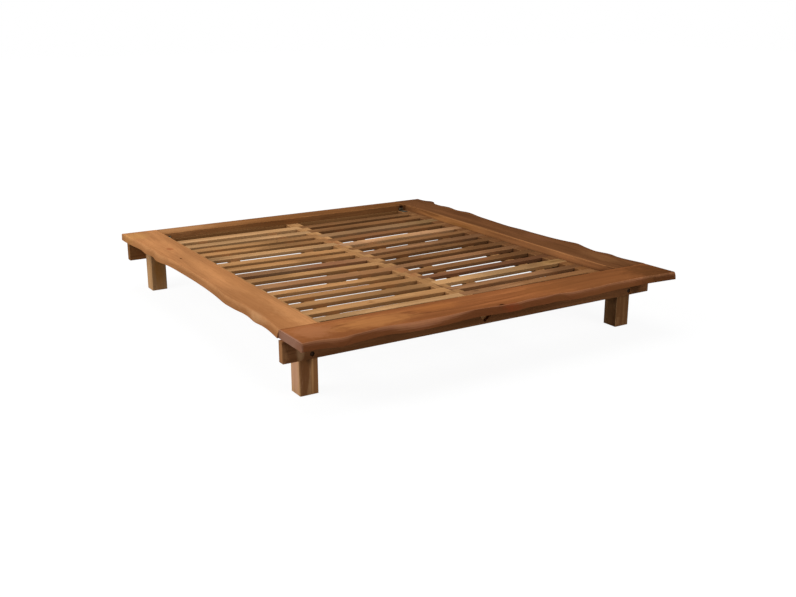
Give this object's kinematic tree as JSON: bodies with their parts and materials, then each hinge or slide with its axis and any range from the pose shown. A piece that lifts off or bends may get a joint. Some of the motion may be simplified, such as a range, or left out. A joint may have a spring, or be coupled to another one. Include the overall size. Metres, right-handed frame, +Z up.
{
  "type": "wooden platform bed frame",
  "caption": "Low wooden platform bed: live-edge boards frame a recessed slatted mattress well on rails and square legs, with a centre beam.",
  "frame": {"origin": "on the floor, under the middle of the whole bed's bounding box", "axes": "+Z up, +Y toward the head of the bed, +X toward the right side as seen from the foot"},
  "size_m": [2.3306, 2.574, 0.339],
  "materials": {
    "foot_board_wood": "satin oil, reddish brown, live front edge",
    "head_board_wood": "satin oil, light brown",
    "left_board_wood": "satin oil, honey tan, live outer edge",
    "right_board_wood": "satin oil, brown, live outer edge",
    "foot_rail_wood": "sawn and sanded, brown",
    "head_rail_wood": "sawn and sanded, brown",
    "side_rail_wood": "sawn and sanded, brown",
    "beam_wood": "sawn and sanded, tan",
    "leg_wood": "sawn and sanded, light tan to brown",
    "left_slat_01_wood": "sanded, pale tan",
    "left_slat_02_wood": "sanded, pale tan",
    "left_slat_03_wood": "sanded, pale tan",
    "left_slat_04_wood": "sanded, pale tan",
    "left_slat_05_wood": "sanded, pale tan",
    "left_slat_06_wood": "sanded, pale tan",
    "left_slat_07_wood": "sanded, pale tan",
    "left_slat_08_wood": "sanded, pale tan",
    "left_slat_09_wood": "sanded, pale tan",
    "left_slat_10_wood": "sanded, pale tan",
    "left_slat_11_wood": "sanded, pale tan",
    "left_slat_12_wood": "sanded, pale tan",
    "left_slat_13_wood": "sanded, pale tan",
    "left_slat_14_wood": "sanded, pale tan",
    "left_slat_15_wood": "sanded, pale tan",
    "left_slat_16_wood": "sanded, pale tan",
    "batten_wood": "sawn, tan",
    "right_slat_01_wood": "sanded, tan",
    "right_slat_02_wood": "sanded, tan",
    "right_slat_03_wood": "sanded, tan",
    "right_slat_04_wood": "sanded, tan",
    "right_slat_05_wood": "sanded, tan",
    "right_slat_06_wood": "sanded, tan",
    "right_slat_07_wood": "sanded, tan",
    "right_slat_08_wood": "sanded, tan",
    "right_slat_09_wood": "sanded, tan",
    "right_slat_10_wood": "sanded, tan",
    "right_slat_11_wood": "sanded, tan",
    "right_slat_12_wood": "sanded, tan",
    "right_slat_13_wood": "sanded, tan",
    "right_slat_14_wood": "sanded, tan",
    "right_slat_15_wood": "sanded, tan",
    "right_slat_16_wood": "sanded, tan",
    "bracket_steel": "dull zinc",
    "screw_steel": "zinc plated",
    "bolt_steel": "dark zinc",
    "dowel_wood": "plain beech"
  },
  "bodies": {
    "root": {"foot_board": "foot_board_wood", "head_board": "head_board_wood", "left_side_board": "left_board_wood", "right_side_board": "right_board_wood", "foot_rail": "foot_rail_wood", "head_rail": "head_rail_wood", "left_side_rail": "side_rail_wood", "right_side_rail": "side_rail_wood", "centre_beam": "beam_wood", "foot_left_leg": "leg_wood", "foot_right_leg": "leg_wood", "centre_foot_leg": "leg_wood", "head_left_leg": "leg_wood", "head_right_leg": "leg_wood", "centre_head_leg": "leg_wood", "left_slat_01": "left_slat_01_wood", "left_slat_02": "left_slat_02_wood", "left_slat_03": "left_slat_03_wood", "left_slat_04": "left_slat_04_wood", "left_slat_05": "left_slat_05_wood", "left_slat_06": "left_slat_06_wood", "left_slat_07": "left_slat_07_wood", "left_slat_08": "left_slat_08_wood", "left_slat_09": "left_slat_09_wood", "left_slat_10": "left_slat_10_wood", "left_slat_11": "left_slat_11_wood", "left_slat_12": "left_slat_12_wood", "left_slat_13": "left_slat_13_wood", "left_slat_14": "left_slat_14_wood", "left_slat_15": "left_slat_15_wood", "left_slat_16": "left_slat_16_wood", "left_inner_batten": "batten_wood", "left_head_batten": "batten_wood", "left_foot_batten": "batten_wood", "right_slat_01": "right_slat_01_wood", "right_slat_02": "right_slat_02_wood", "right_slat_03": "right_slat_03_wood", "right_slat_04": "right_slat_04_wood", "right_slat_05": "right_slat_05_wood", "right_slat_06": "right_slat_06_wood", "right_slat_07": "right_slat_07_wood", "right_slat_08": "right_slat_08_wood", "right_slat_09": "right_slat_09_wood", "right_slat_10": "right_slat_10_wood", "right_slat_11": "right_slat_11_wood", "right_slat_12": "right_slat_12_wood", "right_slat_13": "right_slat_13_wood", "right_slat_14": "right_slat_14_wood", "right_slat_15": "right_slat_15_wood", "right_slat_16": "right_slat_16_wood", "right_inner_batten": "batten_wood", "right_outer_batten": "batten_wood", "angle_brackets": "bracket_steel", "corner_brackets": "bracket_steel", "bracket_screws": "screw_steel", "batten_screws": "screw_steel", "end_rail_bolts": "bolt_steel", "side_rail_bolts": "bolt_steel", "bolt_washers": "bolt_steel", "board_dowels": "dowel_wood"}
  },
  "joints": []
}
